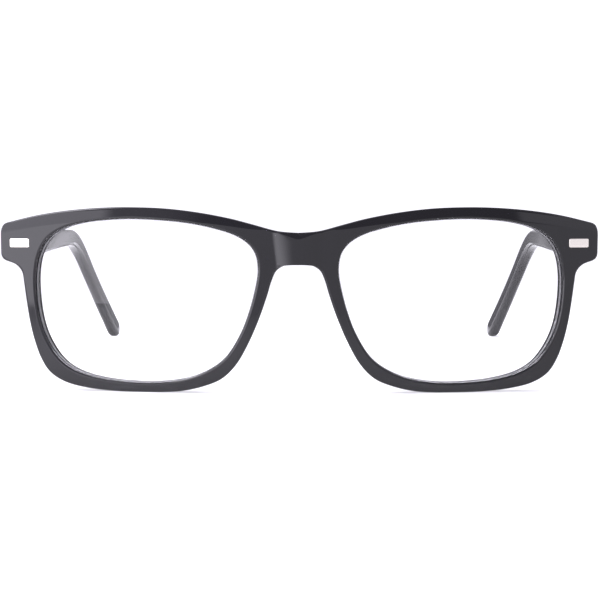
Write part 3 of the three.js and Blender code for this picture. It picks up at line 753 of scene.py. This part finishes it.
# ---- Floor, light and camera -------------------------------------------------------------------
# A white acrylic table, lit from below and by two soft boxes above, in a white room. The room's left
# wall is bright, with a small lamp high up, and its ceiling and far wall are darker.
TINT = srgb("#F8F6FF")
bpy.ops.object.select_all(action="DESELECT")
bpy.ops.mesh.primitive_plane_add(size=0.6, location=(0, 0, -0.00005))
floor = bpy.context.object
floor.name = floor.data.name = "floor"
white, tree = new_material("white acrylic table, backlit")
table = add_node(tree, "ShaderNodeBsdfPrincipled", Base_Color=srgb("#959595"), Roughness=0.9, IOR=1.0,
                 Emission_Color=TINT, Emission_Strength=0.66)
add_node(tree, "ShaderNodeOutputMaterial", Surface=table.outputs["BSDF"])
floor.data.materials.append(white)


def soft_box(place, size, radiance):
    """An area light of a size in metres that looks straight down and shows in no reflection."""
    bpy.ops.object.light_add(type="AREA", location=place)
    box = bpy.context.object
    box.visible_glossy = box.visible_camera = False
    box.data.shape = "RECTANGLE"
    box.data.size, box.data.size_y = size
    box.data.energy = radiance * math.pi * size[0] * size[1]
    box.data.color = TINT[:3]


soft_box((-0.14, -0.14, 0.12), (0.18, 0.18), 8.5)
soft_box((0, 0.1, 0.16), (0.26, 0.12), 13)

world = bpy.data.worlds.new("white room")
scene.world = world
world.use_nodes = True
tree = world.node_tree
tree.nodes.clear()
direction = add_node(tree, "ShaderNodeTexCoord").outputs["Generated"]
x, y, z = add_node(tree, "ShaderNodeSeparateXYZ", Vector=direction).outputs
ahead = add_node(tree, "ShaderNodeMath", {"operation": "MULTIPLY"}, (y, -1)).outputs[0]
bearing = add_node(tree, "ShaderNodeMath", {"operation": "ARCTAN2"}, (x, ahead)).outputs[0]
AXES = {"x": (x, float), "y": (y, float), "bearing": (bearing, math.radians),
        "rise": (z, lambda angle: math.sin(math.radians(angle)))}
# Each patch of the room is a product of ramps: what it goes by, where the ramp starts and ends, and
# its values there. Bearings are in degrees from straight ahead, and rises in degrees above level.
PATCHES = {
    "front ceiling": [("bearing", -40, -35, 0, 1), ("bearing", 43, 45, 1, 0), ("rise", 22, 32, 0, 1)],
    "top ceiling": [("rise", 52, 62, 0, 1)],
    "darker to the right": [("bearing", -24, -10, 0.36, 1)],
    "left wall": [("bearing", -33, -7, 1, 0), ("bearing", -110, -80, 0, 1),
                  ("rise", -8.0, -4.2, 0.58, 1), ("rise", 10, 45, 1, 0.6)],
    "high lamp": [("x", -0.42, -0.34, 1, 0), ("rise", 48, 54, 0, 1), ("y", 0.05, 0.2, 1, 0)],
    "far wall": [("y", 0.3, 0.7, 0, 1), ("x", -0.08, 0.04, 0.7, 0.35)]}
rays = add_node(tree, "ShaderNodeLightPath").outputs
room = {"camera ray": rays["Is Camera Ray"], "transmission ray": rays["Is Transmission Ray"]}
for name, ramps in PATCHES.items():
    for axis, low, high, start, end in ramps:
        socket, place = AXES[axis]
        ramp = add_node(tree, "ShaderNodeMapRange", {"interpolation_type": "SMOOTHSTEP"},
                        (socket, place(low), place(high), start, end)).outputs["Result"]
        room[name] = add_node(tree, "ShaderNodeMath", {"operation": "MULTIPLY"},
                              (room.get(name, 1), ramp)).outputs[0]
# The patches are put together, each step named. Last, the white behind the table is burnt out where
# the camera sees it, directly or through a lens.
for result, operation, *terms in (
        ("ceiling", "MAXIMUM", "front ceiling", "top ceiling"),
        ("shade", "MULTIPLY", "ceiling", "darker to the right"),
        ("wall below the ceiling", "SUBTRACT", 1, "ceiling"),
        ("left wall", "MULTIPLY", "left wall", "wall below the ceiling"),
        ("light", "MULTIPLY_ADD", "left wall", 2.7, 1.04),
        ("light", "MULTIPLY_ADD", "high lamp", 10, "light"),
        ("light", "MULTIPLY_ADD", "shade", -0.67, "light"),
        ("light", "SUBTRACT", "light", "far wall"),
        ("seen", "MAXIMUM", "camera ray", "transmission ray"),
        ("burnt out", "MULTIPLY", "seen", 1.15),
        ("light", "MAXIMUM", "light", "burnt out"),
        ("strength", "DIVIDE", "light", TINT[1])):
    values = [room.get(term, term) for term in terms]
    room[result] = add_node(tree, "ShaderNodeMath", {"operation": operation}, values).outputs[0]
sky = add_node(tree, "ShaderNodeBackground", Color=TINT, Strength=room["strength"])
add_node(tree, "ShaderNodeOutputWorld", Surface=sky.outputs["Background"])

YAW = math.radians(0.65)
TILT = math.radians(3.84)
DISTANCE = 312.0
BEHIND_FACE = 12  # the camera swings round an upright line this far behind the face
EYE = 42.2
camera_y = FACE_Y + BEHIND_FACE - DISTANCE * math.cos(YAW)
bpy.ops.object.camera_add(location=(DISTANCE * MM * math.sin(YAW), camera_y * MM, EYE * MM),
                          rotation=(math.radians(90) - TILT, 0, YAW - math.radians(0.054)))
camera = bpy.context.object
camera.data.sensor_width = 36
camera.data.lens = 77.22
camera.data.clip_start = 0.01
scene.camera = camera
scene.view_settings.view_transform = "Standard"
scene.view_settings.look = "None"
